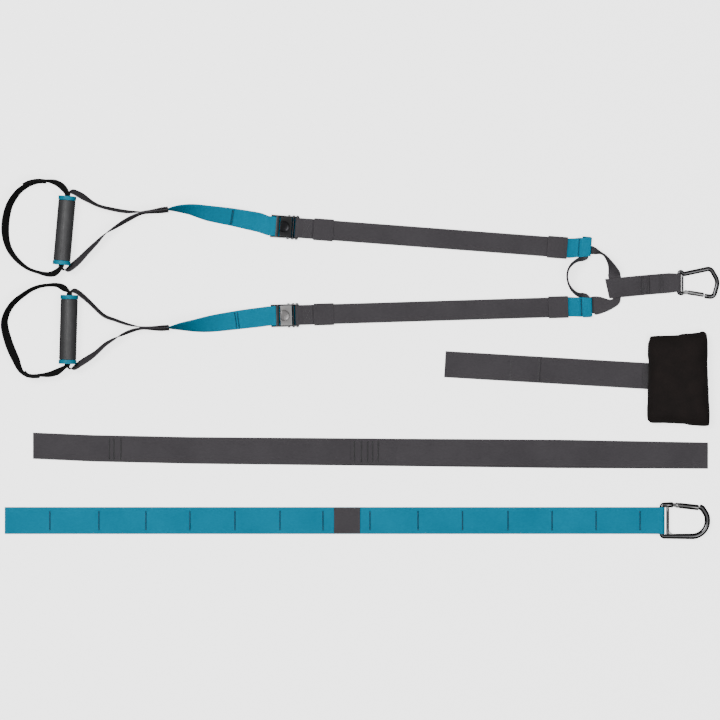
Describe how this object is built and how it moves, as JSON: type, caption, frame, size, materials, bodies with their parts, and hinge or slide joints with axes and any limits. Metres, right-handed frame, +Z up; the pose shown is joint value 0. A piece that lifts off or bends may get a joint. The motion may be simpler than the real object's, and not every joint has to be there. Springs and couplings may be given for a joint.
{
  "type": "suspension trainer",
  "caption": "Webbing suspension trainer with adjustable handle straps, foot loops, a carabiner, a padded door anchor, an extension loop and a pocketed ladder strap, laid flat.",
  "frame": {"origin": "centre of the laid-out set on the floor, at the lowest point", "axes": "+Z up from the floor, +X from the handles towards the carabiners, +Y from the ladder strap towards the trainer"},
  "size_m": [1.3616, 0.6839, 0.044],
  "materials": {
    "dark_webbing": "woven, matte",
    "foot_webbing": "woven, matte",
    "teal_webbing": "woven, matte",
    "black_cloth": "stuffed cloth, matte",
    "grip_rubber": "moulded, matte",
    "teal_plastic": "satin",
    "black_plastic": "matte",
    "buckle_metal": "satin black",
    "lever_metal": "brushed",
    "spring_steel": "bright",
    "gloss_metal": "gloss black"
  },
  "bodies": {
    "webbing": {"upper_buckle_frame": "buckle_metal", "upper_cam_axle": "buckle_metal", "upper_guide_bar": "buckle_metal", "upper_strap_bar": "buckle_metal", "upper_cam_spring": "spring_steel", "upper_main_strap": "dark_webbing", "upper_near_keeper": "dark_webbing", "upper_far_keeper": "dark_webbing", "upper_ring_loop": "teal_webbing", "lower_buckle_frame": "buckle_metal", "lower_cam_axle": "buckle_metal", "lower_guide_bar": "buckle_metal", "lower_strap_bar": "buckle_metal", "lower_cam_spring": "spring_steel", "lower_main_strap": "dark_webbing", "lower_near_keeper": "dark_webbing", "lower_far_keeper": "dark_webbing", "lower_ring_loop": "teal_webbing", "equaliser_ring": "dark_webbing", "anchor_strap": "dark_webbing", "door_anchor_strap": "dark_webbing", "door_anchor_cushion": "black_cloth", "extension_strap": "dark_webbing", "ladder_strap": "teal_webbing", "ladder_patch": "dark_webbing"},
    "upper_handle": {"upper_foot_loop": "foot_webbing", "upper_hand_strap": "dark_webbing", "upper_adjusting_strap": "teal_webbing"},
    "upper_grip": {"upper_grip_core": "black_plastic", "upper_grip_sleeve": "grip_rubber", "upper_grip_top_ring": "teal_plastic", "upper_grip_bottom_ring": "teal_plastic"},
    "upper_cam": {"upper_cam_lever": "lever_metal"},
    "lower_handle": {"lower_foot_loop": "foot_webbing", "lower_hand_strap": "dark_webbing", "lower_adjusting_strap": "teal_webbing"},
    "lower_grip": {"lower_grip_core": "black_plastic", "lower_grip_sleeve": "grip_rubber", "lower_grip_top_ring": "teal_plastic", "lower_grip_bottom_ring": "teal_plastic"},
    "lower_cam": {"lower_cam_lever": "lever_metal"},
    "carabiner": {"carabiner_body": "gloss_metal", "carabiner_gate_pin": "buckle_metal"},
    "carabiner_gate": {"carabiner_gate": "gloss_metal", "carabiner_gate_spring": "spring_steel"},
    "ladder_carabiner": {"ladder_carabiner_body": "gloss_metal", "ladder_carabiner_gate_pin": "buckle_metal"},
    "ladder_carabiner_gate": {"ladder_carabiner_gate": "gloss_metal", "ladder_carabiner_gate_spring": "spring_steel"}
  },
  "joints": [
    {"name": "upper_length_adjust", "type": "slide", "parent": "webbing", "child": "upper_handle", "axis": [-0.9972, 0.0749, 0], "range_m": [0, 0.4]},
    {"name": "upper_grip_spin", "type": "hinge", "parent": "upper_handle", "child": "upper_grip", "pos_m": [-0.56164, 0.24386, 0.017], "axis": [0.087, 0.9962, 0], "continuous": true},
    {"name": "upper_cam_press", "type": "hinge", "parent": "webbing", "child": "upper_cam", "pos_m": [-0.1368, 0.25023, 0.0085], "axis": [-0.0749, -0.9972, 0], "range_deg": [0, 26], "stiffness_Nm_per_rad": 0.3, "springref_deg": -11.46},
    {"name": "lower_length_adjust", "type": "slide", "parent": "webbing", "child": "lower_handle", "axis": [-0.9995, -0.0305, 0], "range_m": [0, 0.4]},
    {"name": "lower_grip_spin", "type": "hinge", "parent": "lower_handle", "child": "lower_grip", "pos_m": [-0.55414, 0.05577, 0.017], "axis": [0.0276, 0.9996, 0], "continuous": true},
    {"name": "lower_cam_press", "type": "hinge", "parent": "webbing", "child": "lower_cam", "pos_m": [-0.13623, 0.08265, 0.0085], "axis": [0.0305, -0.9995, 0], "range_deg": [0, 26], "stiffness_Nm_per_rad": 0.3, "springref_deg": -11.46},
    {"name": "carabiner_swing", "type": "hinge", "parent": "webbing", "child": "carabiner", "pos_m": [0.60382, 0.14497, 0.0052], "axis": [0, -1, 0], "range_deg": [-90, 90]},
    {"name": "carabiner_gate_open", "type": "hinge", "parent": "carabiner", "child": "carabiner_gate", "pos_m": [0.61792, 0.12677, 0.00486], "axis": [0.0244, 0, 0.9997], "range_deg": [0, 30], "stiffness_Nm_per_rad": 0.3, "springref_deg": -11.46},
    {"name": "ladder_carabiner_swing", "type": "hinge", "parent": "webbing", "child": "ladder_carabiner", "pos_m": [0.57171, -0.30704, 0.0061], "axis": [0, -1, 0], "range_deg": [-90, 90]},
    {"name": "ladder_carabiner_gate_open", "type": "hinge", "parent": "ladder_carabiner", "child": "ladder_carabiner_gate", "pos_m": [0.6013, -0.27794, 0.00543], "axis": [-0.0227, 0, -0.9997], "range_deg": [0, 30], "stiffness_Nm_per_rad": 0.3, "springref_deg": -11.46}
  ]
}
